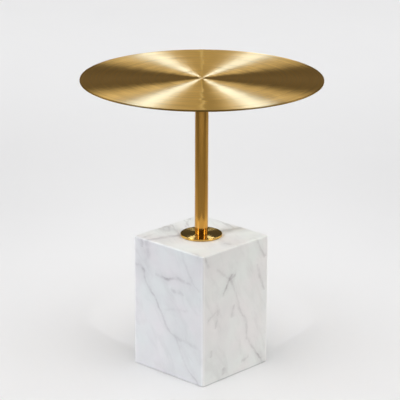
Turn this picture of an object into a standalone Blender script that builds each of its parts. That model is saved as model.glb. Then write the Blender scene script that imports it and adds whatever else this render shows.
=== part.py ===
"""Side table: a thin brass disc on a slim brass column, clamped by a tie rod to a square marble block."""

import math

import bmesh
import bpy

# Whole table, in metres; +Z is up and the floor is at zero
TABLE_HEIGHT = 0.500
SEAT_GAP = 0.0003

# Brass disc top
TOP_DIAMETER = 0.400
TOP_THICKNESS = 0.003
TOP_EDGE_ROUND = 0.0008

# Marble block and the feet under it
BLOCK_SIDE = 0.160
BLOCK_HEIGHT = 0.228
BLOCK_ARRIS = 0.003
FOOT_DIAMETER = 0.024
FOOT_THICKNESS = 0.0015
FOOT_CHAMFER = 0.0003
FOOT_INSET = 0.022
FOOT_POCKET_DEPTH = 0.0014

# Column tube, with the rosette and the bush at its foot
TUBE_DIAMETER = 0.0225
TUBE_WALL = 0.0015
TUBE_END_CHAMFER = 0.0004
ROSETTE_DIAMETER = 0.070
ROSETTE_THICKNESS = 0.004
ROSETTE_EDGE_ROUND = 0.0008
ROSETTE_SEAT_DEPTH = 0.001
BUSH_LENGTH = 0.016
BUSH_CHAMFER = 0.001
SLIP_CLEARANCE = 0.0003

# Tie rod and what clamps it in the recess under the block
ROD_DIAMETER = 0.010
ROD_END_CHAMFER = 0.001
ROD_ENGAGEMENT = 0.018
ROD_TAIL = 0.004
ROD_COVER = 0.008
ROD_CLEARANCE = 0.0005
THREAD_CLEARANCE = 0.0003
STONE_BORE_CLEARANCE = 0.002
RECESS_CLEARANCE = 0.003
GASKET_THICKNESS = 0.0015
CLAMP_WASHER_DIAMETER = 0.036
CLAMP_WASHER_THICKNESS = 0.0025
LOCK_WASHER_WIDTH = 0.0035
LOCK_WASHER_THICKNESS = 0.0022
LOCK_WASHER_RISE = 0.0006
LOCK_WASHER_SPLIT = math.radians(9)
CLAMP_NUT_ACROSS_FLATS = 0.016
CLAMP_NUT_HEIGHT = 0.0084

# Mounting flange under the top, and the studs that hold it
FLANGE_THICKNESS = 0.003
FLANGE_EDGE_ROUND = 0.0008
FLANGE_MARGIN = 0.013
HUB_CROWN = 0.006
HUB_CHAMFER = 0.001
STUD_COUNT = 4
STUD_CIRCLE_DIAMETER = 0.090
STUD_DIAMETER = 0.005
STUD_TIP_CHAMFER = 0.0006
STUD_TAIL = 0.002
STUD_WASHER_DIAMETER = 0.010
STUD_WASHER_THICKNESS = 0.001
STUD_NUT_ACROSS_FLATS = 0.008
STUD_NUT_HEIGHT = 0.004
WASHER_CHAMFER = 0.0002

# The most of a plate's thickness that each of its rounded edges may take
EDGE_ROUND_SHARE = 0.45

# Hexagon nuts have their corners turned back to a face a little smaller than the hexagon
NUT_FACE_RATIO = 0.95
NUT_CHAMFER_ANGLE = math.radians(30)

# Fineness of the round pieces
TOP_STEPS = 128
COLUMN_STEPS = 64
FASTENER_STEPS = 24
ROUND_STEPS = 3
SHARP_ANGLE = math.radians(40)
MERGE_DISTANCE = 0.000001
CUT_OVERRUN = 0.005

# Radii that follow from the sizes above
tube_inner = TUBE_DIAMETER / 2 - TUBE_WALL
plug_radius = tube_inner - SLIP_CLEARANCE
rod_hole = ROD_DIAMETER / 2 + ROD_CLEARANCE
rod_thread = ROD_DIAMETER / 2 + THREAD_CLEARANCE
stud_hole = STUD_DIAMETER / 2 + ROD_CLEARANCE
stud_thread = STUD_DIAMETER / 2 + THREAD_CLEARANCE
flange_radius = STUD_CIRCLE_DIAMETER / 2 + FLANGE_MARGIN
recess_radius = CLAMP_WASHER_DIAMETER / 2 + RECESS_CLEARANCE
hub_length = ROD_ENGAGEMENT + HUB_CROWN

# Heights of the pieces above the floor: the base upwards, then the top downwards
block_low = FOOT_THICKNESS + SEAT_GAP - FOOT_POCKET_DEPTH
block_high = block_low + BLOCK_HEIGHT
rosette_low = block_high + SEAT_GAP
tube_low = rosette_low + ROSETTE_THICKNESS - ROSETTE_SEAT_DEPTH + SEAT_GAP
top_low = TABLE_HEIGHT - TOP_THICKNESS
flange_low = top_low - SEAT_GAP - FLANGE_THICKNESS
tube_length = flange_low - SEAT_GAP - tube_low
hub_low = flange_low - hub_length

# Heights of the clamp in the recess, upwards from the rod's lower end
rod_low = block_low + ROD_COVER
rod_length = hub_low + ROD_ENGAGEMENT - SEAT_GAP - rod_low
clamp_nut_low = rod_low + ROD_TAIL
lock_washer_low = clamp_nut_low + CLAMP_NUT_HEIGHT + SEAT_GAP
clamp_washer_low = lock_washer_low + LOCK_WASHER_THICKNESS + LOCK_WASHER_RISE + SEAT_GAP
gasket_low = clamp_washer_low + CLAMP_WASHER_THICKNESS + SEAT_GAP
recess_depth = gasket_low + GASKET_THICKNESS + SEAT_GAP - block_low

# Heights under the flange, downwards from the disc
stud_washer_low = flange_low - SEAT_GAP - STUD_WASHER_THICKNESS
stud_nut_low = stud_washer_low - SEAT_GAP - STUD_NUT_HEIGHT
stud_low = stud_nut_low - STUD_TAIL
stud_length = top_low - SEAT_GAP - stud_low


def clear_scene():
    """Empties the scene, so that only the table is in it."""
    for item in list(bpy.data.objects):
        bpy.data.objects.remove(item, do_unlink=True)


def finish(name, colour, roughness, metallic):
    """A plain surface finish for one kind of material."""
    material = bpy.data.materials.new(name)
    material.use_nodes = True
    shader = material.node_tree.nodes["Principled BSDF"]
    shader.inputs["Base Color"].default_value = (*colour, 1.0)
    shader.inputs["Roughness"].default_value = roughness
    shader.inputs["Metallic"].default_value = metallic
    return material


def mesh_from(shape, name):
    """Turns a worked shape into a mesh with its faces out and its round faces smooth."""
    bmesh.ops.recalc_face_normals(shape, faces=shape.faces)
    mesh = bpy.data.meshes.new(name)
    shape.to_mesh(mesh)
    shape.free()
    mesh.shade_smooth()
    mesh.set_sharp_from_angle(angle=SHARP_ANGLE)
    return mesh


def turned(name, outline, steps):
    """Turns (radius, height) points about Z; the outline closes unless it starts on the axis."""
    shape = bmesh.new()
    points = [shape.verts.new((radius, 0.0, height)) for radius, height in outline]
    spans = list(zip(points, points[1:]))
    if outline[0][0] > 0.0:
        spans.append((points[-1], points[0]))
    edges = [shape.edges.new(span) for span in spans]
    bmesh.ops.spin(
        shape,
        geom=points + edges,
        cent=(0, 0, 0),
        axis=(0, 0, 1),
        angle=math.tau,
        steps=steps,
        use_merge=True,
    )
    bmesh.ops.remove_doubles(shape, verts=shape.verts, dist=MERGE_DISTANCE)
    return mesh_from(shape, name)


def quarter_round(radius, height, size, start):
    """Outline points of a quarter circle about (radius, height), from the start angle anticlockwise."""
    turns = [start + math.pi / 2 * step / ROUND_STEPS for step in range(ROUND_STEPS + 1)]
    return [(radius + size * math.cos(turn), height + size * math.sin(turn)) for turn in turns]


def rounded_rim(radius, thickness, edge_round, base=0.0):
    """Outline points of a plate's rim with both its edges rounded, from the lower face to the upper."""
    size = min(edge_round, EDGE_ROUND_SHARE * thickness)
    lower = quarter_round(radius - size, base + size, size, -math.pi / 2)
    upper = quarter_round(radius - size, base + thickness - size, size, 0.0)
    return lower + upper


def bar_outline(hole, radius, length, chamfer):
    """Outline of a round bar, tube, bush or washer with its outer edges chamfered."""
    return [
        (hole, 0.0),
        (radius - chamfer, 0.0),
        (radius, chamfer),
        (radius, length - chamfer),
        (radius - chamfer, length),
        (hole, length),
    ]


def piece(name, mesh, material, place=(0.0, 0.0, 0.0), turn=0.0):
    """Puts a mesh into the table as one named piece."""
    if not mesh.materials:
        mesh.materials.append(material)
    body = bpy.data.objects.new(name, mesh)
    body.location = place
    body.rotation_euler.z = turn
    body.parent = table
    bpy.context.scene.collection.objects.link(body)
    return body


def cut(body, name, mesh, place, operation="DIFFERENCE"):
    """Cuts a body with a hidden tool, or keeps only what lies inside the tool."""
    tool = bpy.data.objects.new(name, mesh)
    tool.location = place
    tool.parent = table
    tool.hide_render = True
    tool.display_type = "WIRE"
    bpy.context.scene.collection.objects.link(tool)
    modifier = body.modifiers.new(name, "BOOLEAN")
    modifier.operation = operation
    modifier.object = tool
    modifier.solver = "EXACT"
    return tool


def hexagon_nut(name, across_flats, height, bore):
    """A hexagon nut: a six-sided bar whose corners are turned back at both faces, bored through."""
    shape = bmesh.new()
    corner_radius = across_flats / 2 / math.cos(math.pi / 6)
    ring = bmesh.ops.create_circle(shape, cap_ends=True, segments=6, radius=corner_radius)
    face = ring["verts"][0].link_faces[0]
    grown = bmesh.ops.extrude_face_region(shape, geom=[face], use_keep_orig=True)
    raised = [item for item in grown["geom"] if isinstance(item, bmesh.types.BMVert)]
    bmesh.ops.translate(shape, verts=raised, vec=(0, 0, height))
    blank = piece(name + "_blank", mesh_from(shape, name + "_blank"), steel)

    face_radius = NUT_FACE_RATIO * across_flats / 2
    waist_radius = face_radius + height / 2 / math.tan(NUT_CHAMFER_ANGLE)
    side = [(face_radius, 0.0), (waist_radius, height / 2), (face_radius, height)]
    cone = turned(name + "_cone", [(0.0, 0.0), *side, (0.0, height)], FASTENER_STEPS)
    drill_outline = bar_outline(0.0, bore, height + 2 * CUT_OVERRUN, 0.0)
    drill = turned(name + "_drill", drill_outline, FASTENER_STEPS)
    tools = [
        cut(blank, name + "_cone", cone, (0, 0, 0), "INTERSECT"),
        cut(blank, name + "_drill", drill, (0, 0, -CUT_OVERRUN)),
    ]
    view = bpy.context.evaluated_depsgraph_get()
    mesh = bpy.data.meshes.new_from_object(blank.evaluated_get(view))
    mesh.name = name
    for item in [blank] + tools:
        bpy.data.objects.remove(item, do_unlink=True)
    return mesh


def split_ring(name, inner, width, thickness, rise, split):
    """A split lock washer: a square section wound almost once round, climbing a little on the way."""
    shape = bmesh.new()
    outline = [(inner, 0.0), (inner + width, 0.0), (inner + width, thickness), (inner, thickness)]
    start = [shape.verts.new((radius, 0.0, height)) for radius, height in outline]
    edges = [shape.edges.new(span) for span in zip(start, start[1:] + start[:1])]
    wound = bmesh.ops.spin(
        shape,
        geom=start + edges,
        cent=(0, 0, 0),
        axis=(0, 0, 1),
        dvec=(0, 0, rise / FASTENER_STEPS),
        angle=math.tau - split,
        steps=FASTENER_STEPS,
    )
    end_edges = [item for item in wound["geom_last"] if isinstance(item, bmesh.types.BMEdge)]
    bmesh.ops.contextual_create(shape, geom=edges)
    bmesh.ops.contextual_create(shape, geom=end_edges)
    return mesh_from(shape, name)


def make_top():
    """The brushed disc."""
    rim = rounded_rim(TOP_DIAMETER / 2, TOP_THICKNESS, TOP_EDGE_ROUND)
    outline = [(0.0, 0.0)] + rim + [(0.0, TOP_THICKNESS)]
    piece("top_disc", turned("top_disc", outline, TOP_STEPS), brushed_brass, (0, 0, top_low))


def make_block():
    """The marble block with rounded arrises, a bore for the rod and a recess for the clamp."""
    shape = bmesh.new()
    bmesh.ops.create_cube(shape, size=1.0)
    bmesh.ops.scale(shape, verts=shape.verts, vec=(BLOCK_SIDE, BLOCK_SIDE, BLOCK_HEIGHT))
    bmesh.ops.translate(shape, verts=shape.verts, vec=(0, 0, BLOCK_HEIGHT / 2))
    bmesh.ops.bevel(
        shape, geom=shape.edges, offset=BLOCK_ARRIS, segments=ROUND_STEPS, profile=0.5, affect="EDGES"
    )
    block = piece("marble_block", mesh_from(shape, "marble_block"), white_marble, (0, 0, block_low))
    bore = ROD_DIAMETER / 2 + STONE_BORE_CLEARANCE
    outline = [
        (0.0, -CUT_OVERRUN),
        (recess_radius, -CUT_OVERRUN),
        (recess_radius, recess_depth),
        (bore, recess_depth),
        (bore, BLOCK_HEIGHT + CUT_OVERRUN),
        (0.0, BLOCK_HEIGHT + CUT_OVERRUN),
    ]
    cut(block, "block_bore", turned("block_bore", outline, FASTENER_STEPS), (0, 0, block_low))
    return block


def make_feet(block):
    """Four thin feet near the block's corners, each in a shallow pocket and standing a little proud of it."""
    outline = bar_outline(0.0, FOOT_DIAMETER / 2, FOOT_THICKNESS, FOOT_CHAMFER)
    mesh = turned("foot", outline, FASTENER_STEPS)
    pocket_radius = FOOT_DIAMETER / 2 + SLIP_CLEARANCE
    outline = [
        (0.0, -CUT_OVERRUN),
        (pocket_radius, -CUT_OVERRUN),
        (pocket_radius, FOOT_POCKET_DEPTH),
        (0.0, FOOT_POCKET_DEPTH),
    ]
    pocket = turned("foot_pocket", outline, FASTENER_STEPS)
    reach = BLOCK_SIDE / 2 - FOOT_INSET
    corners = [(reach, reach), (-reach, reach), (-reach, -reach), (reach, -reach)]
    for number, (x, y) in enumerate(corners, 1):
        piece(f"foot_{number}", mesh, black_rubber, (x, y, 0))
        cut(block, f"foot_pocket_{number}", pocket, (x, y, block_low))


def make_column():
    """The tube, the rosette that it stands on and the bush that centres its foot."""
    tube = bar_outline(tube_inner, TUBE_DIAMETER / 2, tube_length, TUBE_END_CHAMFER)
    piece("column_tube", turned("column_tube", tube, COLUMN_STEPS), satin_brass, (0, 0, tube_low))

    seat_radius = TUBE_DIAMETER / 2 + SLIP_CLEARANCE
    seat_height = ROSETTE_THICKNESS - ROSETTE_SEAT_DEPTH
    rim = rounded_rim(ROSETTE_DIAMETER / 2, ROSETTE_THICKNESS, ROSETTE_EDGE_ROUND)
    seat = [(seat_radius, ROSETTE_THICKNESS), (seat_radius, seat_height), (rod_hole, seat_height)]
    rosette = turned("column_rosette", [(rod_hole, 0.0)] + rim + seat, COLUMN_STEPS)
    piece("column_rosette", rosette, mirror_brass, (0, 0, rosette_low))

    bush = bar_outline(rod_hole, plug_radius, BUSH_LENGTH, BUSH_CHAMFER)
    piece("centring_bush", turned("centring_bush", bush, COLUMN_STEPS), steel, (0, 0, tube_low))


def make_clamp():
    """The tie rod, and the gasket, washers and nut that pull it down in the block's recess."""
    rod = bar_outline(0.0, ROD_DIAMETER / 2, rod_length, ROD_END_CHAMFER)
    piece("tie_rod", turned("tie_rod", rod, FASTENER_STEPS), steel, (0, 0, rod_low))

    washer_radius = CLAMP_WASHER_DIAMETER / 2
    gasket = bar_outline(rod_hole, washer_radius, GASKET_THICKNESS, WASHER_CHAMFER)
    piece("stone_gasket", turned("stone_gasket", gasket, FASTENER_STEPS), black_rubber, (0, 0, gasket_low))
    washer = bar_outline(rod_hole, washer_radius, CLAMP_WASHER_THICKNESS, WASHER_CHAMFER)
    piece("clamp_washer", turned("clamp_washer", washer, FASTENER_STEPS), steel, (0, 0, clamp_washer_low))
    spring = split_ring(
        "lock_washer",
        rod_hole,
        LOCK_WASHER_WIDTH,
        LOCK_WASHER_THICKNESS,
        LOCK_WASHER_RISE,
        LOCK_WASHER_SPLIT,
    )
    piece("lock_washer", spring, steel, (0, 0, lock_washer_low))
    nut = hexagon_nut("clamp_nut", CLAMP_NUT_ACROSS_FLATS, CLAMP_NUT_HEIGHT, rod_thread)
    piece("clamp_nut", nut, steel, (0, 0, clamp_nut_low))


def make_flange():
    """The mounting flange under the disc; its hub plugs into the tube and takes the rod's thread."""
    hub = [
        (0.0, ROD_ENGAGEMENT),
        (rod_thread, ROD_ENGAGEMENT),
        (rod_thread, 0.0),
        (plug_radius - HUB_CHAMFER, 0.0),
        (plug_radius, HUB_CHAMFER),
        (plug_radius, hub_length),
    ]
    rim = rounded_rim(flange_radius, FLANGE_THICKNESS, FLANGE_EDGE_ROUND, hub_length)
    outline = hub + rim + [(0.0, hub_length + FLANGE_THICKNESS)]
    flange = piece("top_flange", turned("top_flange", outline, COLUMN_STEPS), satin_brass, (0, 0, hub_low))

    drill_outline = bar_outline(0.0, stud_hole, FLANGE_THICKNESS + 2 * CUT_OVERRUN, 0.0)
    drill = turned("stud_hole", drill_outline, FASTENER_STEPS)
    for number, (x, y, _) in enumerate(stud_places(), 1):
        cut(flange, f"stud_hole_{number}", drill, (x, y, flange_low - CUT_OVERRUN))


def stud_places():
    """Where the studs stand round the flange, each with its turn about Z."""
    radius = STUD_CIRCLE_DIAMETER / 2
    turns = [math.tau * (number + 0.5) / STUD_COUNT for number in range(STUD_COUNT)]
    return [(radius * math.cos(turn), radius * math.sin(turn), turn) for turn in turns]


def make_studs():
    """The studs on the underside of the disc, each with its washer and nut."""
    tip = STUD_TIP_CHAMFER
    radius = STUD_DIAMETER / 2
    outline = [(0.0, 0.0), (radius - tip, 0.0), (radius, tip), (radius, stud_length), (0.0, stud_length)]
    stud = turned("weld_stud", outline, FASTENER_STEPS)
    ring = bar_outline(stud_hole, STUD_WASHER_DIAMETER / 2, STUD_WASHER_THICKNESS, WASHER_CHAMFER)
    washer = turned("stud_washer", ring, FASTENER_STEPS)
    nut = hexagon_nut("stud_nut", STUD_NUT_ACROSS_FLATS, STUD_NUT_HEIGHT, stud_thread)
    for number, (x, y, turn) in enumerate(stud_places(), 1):
        piece(f"weld_stud_{number}", stud, steel, (x, y, stud_low), turn)
        piece(f"stud_washer_{number}", washer, steel, (x, y, stud_washer_low), turn)
        piece(f"stud_nut_{number}", nut, steel, (x, y, stud_nut_low), turn)


clear_scene()
table = bpy.data.objects.new("table", None)
bpy.context.scene.collection.objects.link(table)

brushed_brass = finish("brushed_brass", (0.80, 0.54, 0.19), 0.42, 1.0)
satin_brass = finish("satin_brass", (0.74, 0.44, 0.10), 0.28, 1.0)
mirror_brass = finish("mirror_brass", (0.82, 0.54, 0.17), 0.08, 1.0)
white_marble = finish("white_marble", (0.78, 0.78, 0.78), 0.30, 0.0)
steel = finish("zinc_steel", (0.58, 0.58, 0.57), 0.38, 1.0)
black_rubber = finish("black_rubber", (0.03, 0.03, 0.03), 0.80, 0.0)

make_top()
make_feet(make_block())
make_column()
make_clamp()
make_flange()
make_studs()
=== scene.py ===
# %% [markdown]
# A side table in brass and marble.
# The real table is a thin brass disc on a slim brass column, and the column stands on a white marble block.
# A threaded rod inside the column pulls the three together.
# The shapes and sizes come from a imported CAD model, which is loaded first and never moved.
# Everything after that is about looks: camera, light, finer meshes and finishes.

# %% Load the frame
import math

import bmesh
import bpy
from mathutils import Matrix, Vector


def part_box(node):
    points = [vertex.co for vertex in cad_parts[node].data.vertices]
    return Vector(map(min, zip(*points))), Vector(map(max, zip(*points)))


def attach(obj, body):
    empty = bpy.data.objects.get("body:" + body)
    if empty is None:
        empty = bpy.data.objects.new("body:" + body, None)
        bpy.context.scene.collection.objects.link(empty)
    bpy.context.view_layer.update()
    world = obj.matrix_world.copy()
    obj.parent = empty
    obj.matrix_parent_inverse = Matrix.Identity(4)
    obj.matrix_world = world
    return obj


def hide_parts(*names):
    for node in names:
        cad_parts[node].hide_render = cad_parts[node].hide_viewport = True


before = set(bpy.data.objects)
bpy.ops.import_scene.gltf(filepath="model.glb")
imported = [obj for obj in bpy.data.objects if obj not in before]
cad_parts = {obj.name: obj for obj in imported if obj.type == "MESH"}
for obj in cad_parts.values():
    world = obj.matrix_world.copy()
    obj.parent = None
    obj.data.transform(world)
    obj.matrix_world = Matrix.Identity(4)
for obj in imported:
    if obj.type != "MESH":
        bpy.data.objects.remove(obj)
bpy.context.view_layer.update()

scene = bpy.context.scene
scene.view_settings.view_transform = "Standard"

# %% [markdown]
# The camera stands where the photographer stood: far away, a little above the top, with a long lens.
# It could be placed by eye, but the disc's ellipse and the block's corners fix it: the values below put
# those outlines within a pixel of the photograph.
# The table keeps the block square to X and Y, so the whole studio is turned about Z instead.
# Studio coordinates are x to the right of the picture, y away from the camera and z up.

# %% Place the camera
PHOTO_SIDE = 400
FOCAL_PIXELS = 2008.4
SENSOR_WIDTH = 36.0
STUDIO_TURN = math.radians(43.27)
CAMERA_PLACE = (-0.0024, -3.1893, 1.3138)
CAMERA_PITCH = math.radians(17.79)
CAMERA_ROLL = math.radians(0.215)


def placed(name, data):
    """A new object in the scene."""
    item = bpy.data.objects.new(name, data)
    scene.collection.objects.link(item)
    return item


studio = Matrix.Rotation(STUDIO_TURN, 4, "Z")
lens = bpy.data.cameras.new("photo_camera")
lens.sensor_width = SENSOR_WIDTH
lens.lens = SENSOR_WIDTH * FOCAL_PIXELS / PHOTO_SIDE
camera = placed("photo_camera", lens)
tilt = Matrix.Rotation(math.pi / 2 - CAMERA_PITCH, 4, "X") @ Matrix.Rotation(CAMERA_ROLL, 4, "Z")
camera.matrix_world = studio @ Matrix.Translation(CAMERA_PLACE) @ tilt
scene.camera = camera
print("lens", round(lens.lens, 1), "mm, at", tuple(round(v, 2) for v in camera.matrix_world.translation))

# %% [markdown]
# Materials and geometry are graphs of nodes, and each node written by hand takes many lines.
# A few helpers keep the lesson short: one adds a node and fills its inputs with values or links, and the
# others use it for arithmetic, ranges, blends and noise.
# Most of a noise lies between 0.3 and 0.7, so that span is stretched to the range that is needed.

# %% Helpers for node trees
NOISE_SPAN = (0.3, 0.7)


def add(tree, kind, inputs=None, **settings):
    """Adds a node, sets its options, and fills its inputs with values or with other nodes' outputs."""
    node = tree.nodes.new(kind)
    for name, value in settings.items():
        setattr(node, name, value)
    for key, value in (inputs or {}).items():
        if isinstance(value, bpy.types.NodeSocket):
            tree.links.new(value, node.inputs[key])
        else:
            node.inputs[key].default_value = value
    return node


def sums(tree, operation, *values):
    """One step of arithmetic on numbers or sockets."""
    return add(tree, "ShaderNodeMath", dict(enumerate(values)), operation=operation).outputs[0]


def times(tree, first, *others):
    """The product of numbers or sockets."""
    for other in others:
        first = sums(tree, "MULTIPLY", first, other)
    return first


def vectors(tree, operation, *values):
    """One step of arithmetic on vectors."""
    return add(tree, "ShaderNodeVectorMath", dict(enumerate(values)), operation=operation).outputs[0]


def measured(tree, operation, *values):
    """One number taken from vectors, such as a dot product or a length."""
    return add(tree, "ShaderNodeVectorMath", dict(enumerate(values)), operation=operation).outputs["Value"]


def scaled(tree, vector, size):
    """A vector times a number."""
    return add(tree, "ShaderNodeVectorMath", {"Vector": vector, "Scale": size}, operation="SCALE").outputs[0]


def ranged(tree, value, low, high, new_low, new_high, smooth=False):
    """Maps a value from one range to another and clamps it there."""
    node = add(tree, "ShaderNodeMapRange", {0: value, 1: low, 2: high, 3: new_low, 4: new_high})
    node.interpolation_type = "SMOOTHSTEP" if smooth else "LINEAR"
    return node.outputs[0]


def mixed(tree, factor, *tones):
    """Blends two colours."""
    first, second = [(*tone, 1.0) if isinstance(tone, tuple) else tone for tone in tones]
    return add(tree, "ShaderNodeMix", {0: factor, 6: first, 7: second}, data_type="RGBA").outputs[2]


def noise(tree, vector, scale, detail=4.0, roughness=0.5, distortion=0.0, output=0):
    """Noise about one half; output 0 is a number and output 1 a vector."""
    inputs = {"Vector": vector, "Scale": scale, "Detail": detail}
    inputs.update({"Roughness": roughness, "Distortion": distortion})
    return add(tree, "ShaderNodeTexNoise", inputs).outputs[output]


def finish(name, metallic=0.0, **sockets):
    """A new Principled material; gives back it, its node tree, its shader and the place on the piece."""
    material = bpy.data.materials.new(name)
    material.use_nodes = True
    tree = material.node_tree
    shader = tree.nodes["Principled BSDF"]
    shader.inputs["Metallic"].default_value = metallic
    for key, value in sockets.items():
        shader.inputs[key.replace("_", " ")].default_value = value
    return material, tree, shader, add(tree, "ShaderNodeTexCoord").outputs["Object"]


def surfaced(tree, shader, colour, rough):
    """Links a colour and a roughness to a shader."""
    tree.links.new(colour, shader.inputs["Base Color"])
    tree.links.new(rough, shader.inputs["Roughness"])


# %% [markdown]
# The table stands on pale paper, the only floor in the picture; the darker floor around it is painted shade.
# The column also mirrors what lies in front of it and beside it, which is darker in the photograph, so the
# paper ends just outside the picture.
# Two sheets would do, but one disc whose colour changes with the place has softer edges.
# Distances are taken away from the camera, and sideways from the paper's middle.

# %% Paper floor
FLOOR_RADIUS = 14.0
FLOOR_COLOUR = (0.855, 0.865, 0.875)
# Beyond the paper the floor is painted darker: painted shade for the dim studio.
PAINTED_SHADE_FLOOR = (0.43, 0.432, 0.435)
PAPER_END = (-0.38, -0.20)
PAPER_MIDDLE = 0.07
PAPER_SIDE = (0.47, 0.67)
PAPER_FLARE = 0.12
SHADE_AHEAD = (-0.50, -0.15)
SIDE_SHADE_SHARE = 0.50
ACROSS_AXIS = studio.to_3x3() @ Vector((1, 0, 0))
DEPTH_AXIS = studio.to_3x3() @ Vector((0, 1, 0))


def paper_floor():
    """Pale paper, with painted shade as a darker floor in front of the table and, by half, at its sides."""
    material, tree, shader, place = finish("floor_paper", Roughness=1.0, Specular_IOR_Level=0.0)
    mottle = ranged(tree, noise(tree, place, scale=3.0), *NOISE_SPAN, 0, 1)
    darker = tuple(0.99 * value for value in FLOOR_COLOUR)
    paper = mixed(tree, mottle, darker, FLOOR_COLOUR)
    away = measured(tree, "DOT_PRODUCT", place, DEPTH_AXIS)
    beside = measured(tree, "DOT_PRODUCT", place, ACROSS_AXIS)
    past_end = ranged(tree, away, *PAPER_END, 1, 0, True)
    from_middle = sums(tree, "ABSOLUTE", sums(tree, "SUBTRACT", beside, PAPER_MIDDLE))
    flared = sums(tree, "SUBTRACT", from_middle, times(tree, away, PAPER_FLARE))
    past_side = ranged(tree, flared, *PAPER_SIDE, 0, 1, True)
    ahead = sums(tree, "DIVIDE", times(tree, away, -1), measured(tree, "LENGTH", place))
    past_side = times(tree, past_side, ranged(tree, ahead, *SHADE_AHEAD, 0, SIDE_SHADE_SHARE, True))
    # Where the paper gives way, the darker floor tone is painted shade.
    floor_shade = sums(tree, "MAXIMUM", past_side, past_end)
    tree.links.new(mixed(tree, floor_shade, paper, PAINTED_SHADE_FLOOR), shader.inputs["Base Color"])
    return material


shape = bmesh.new()
bmesh.ops.create_circle(shape, cap_ends=True, segments=96, radius=FLOOR_RADIUS)
floor_mesh = bpy.data.meshes.new("studio_floor")
shape.to_mesh(floor_mesh)
shape.free()
floor_mesh.materials.append(paper_floor())
floor = placed("studio_floor", floor_mesh)
print("floor radius", FLOOR_RADIUS)

# %% [markdown]
# The room is dim, and darkest a little above the horizon. The brushed disc mirrors that part of it as the
# dark wedges on its left and right; a plain white world would leave the brass nothing dark to show.
# Each pair below is a height, zero at the horizon and one overhead, and the light there.

# %% Room light
ROOM_LIGHT = [(0.0, 0.6), (0.12, 0.32), (0.25, 0.14), (0.45, 0.11), (1.0, 0.25)]
ROOM_COLOUR = (1.0, 0.93, 0.90, 1.0)

room = bpy.data.worlds.new("studio_room")
room.use_nodes = True
scene.world = room
tree = room.node_tree
direction = add(tree, "ShaderNodeTexCoord").outputs["Generated"]
height = add(tree, "ShaderNodeSeparateXYZ", {0: direction}).outputs["Z"]
ramp = add(tree, "ShaderNodeValToRGB", {0: height})
for spot, light in ROOM_LIGHT[1:-1]:
    ramp.color_ramp.elements.new(spot)
for element, (spot, light) in zip(ramp.color_ramp.elements, ROOM_LIGHT):
    element.position = spot
    element.color = (light, light, light, 1.0)
tree.links.new(ramp.outputs[0], tree.nodes["Background"].inputs["Strength"])
tree.nodes["Background"].inputs["Color"].default_value = ROOM_COLOUR
print("room light by height", ROOM_LIGHT)

# %% [markdown]
# Every lamp is a softbox with a honeycomb grid, which keeps its light in one place.
# One dome of light would be simpler, but brass, marble and floor each need light from another place.
# The helper works out a lamp's power from its brightness as seen head-on.

# %% Softboxes
def softbox(name, place, aim, size, radiance, spread, upright=(0, 0, 1), colour=(1, 1, 1)):
    """A rectangular lamp at a studio place, facing another, with its brightness as seen head-on."""
    half = math.radians(spread) / 2
    passed = math.sin(half) ** 2 / 2 - (half / 2 - math.sin(2 * half) / 4) / math.tan(half)
    data = bpy.data.lights.new(name, "AREA")
    data.shape = "RECTANGLE"
    data.size, data.size_y = size
    data.energy = radiance * size[0] * size[1] * math.tau * passed
    data.color = colour
    data.spread = math.radians(spread)
    back = (Vector(place) - Vector(aim)).normalized()
    side = Vector(upright).cross(back).normalized()
    turn = Matrix((side, back.cross(side), back)).transposed().to_4x4()
    lamp = placed(name, data)
    lamp.matrix_world = studio @ Matrix.Translation(place) @ turn
    lamp.visible_camera = False
    print(name, "at", place, "power", round(data.energy, 1))
    return lamp


# %% [markdown]
# Two key lamps stand in front. Each has the tint that the photograph shows on its side of the stone: cool on
# the left, warm on the right.
# Two broad panels fill in from the sides, and two lamps further back light the stone alone.

# %% Lamps for the table
BEHIND_COLUMN = (0.0, 0.15, 0.35)
BEHIND_TABLE = (0.0, 0.70, 0.35)
BLOCK_TOP = (0.0, 0.0, 0.23)
CREAM = (1.0, 1.02, 0.93)
PALE_BLUE = (0.86, 1.0, 1.04)
KEYS = [(-1, "left", (0.955, 0.99, 1.07), 17.9), (1, "right", (1.02, 1.0, 0.93), 14.1)]
PANELS = [("left", (-1.9, 0.86, 1.5), 3.31), ("right", (1.9, 0.72, 1.5), 3.19)]
SIDES = [(-1, "left"), (1, "right")]

body_lamps = [
    softbox(f"{word}_key", (side * 1.764, -1.008, 1.772), BEHIND_COLUMN, (0.8, 1.3), light, 56, colour=tint)
    for side, word, tint, light in KEYS
]
panels = [
    softbox(f"{word}_side_panel", place, BEHIND_TABLE, (1.6, 1.2), light, 90, colour=CREAM)
    for word, place, light in PANELS
]
stone_lamps = [
    softbox(f"{word}_stone_lamp", (side * 1.5, 1.2, 1.2), BLOCK_TOP, (0.6, 0.6), 9.6, 60, colour=PALE_BLUE)
    for side, word in SIDES
]

# %% [markdown]
# Brushed circles mirror a lamp as a line through their centre, so two lamps high above the disc make the
# four bright wedges of the photograph.
# The wedges are nearly white with golden edges, so each cool lamp has a wider, dimmer and warmer halo in
# front of it, and a broad warm panel overhead lights the gold between them.
# The rosette has a narrow strip on each side behind the table, leaning so that it fans out on the brass.

# %% Lamps for the brass
COOL = (0.50, 0.87, 2.2)
WARM = (1.0, 0.96, 0.60)
DEPTH = (0, 1, 0)
DISC_CENTRE = (0.0, 0.0, 0.5)
DISC_LAMPS = [("left", -2.01, 0.0), ("right", 1.854, -0.072)]

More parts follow.
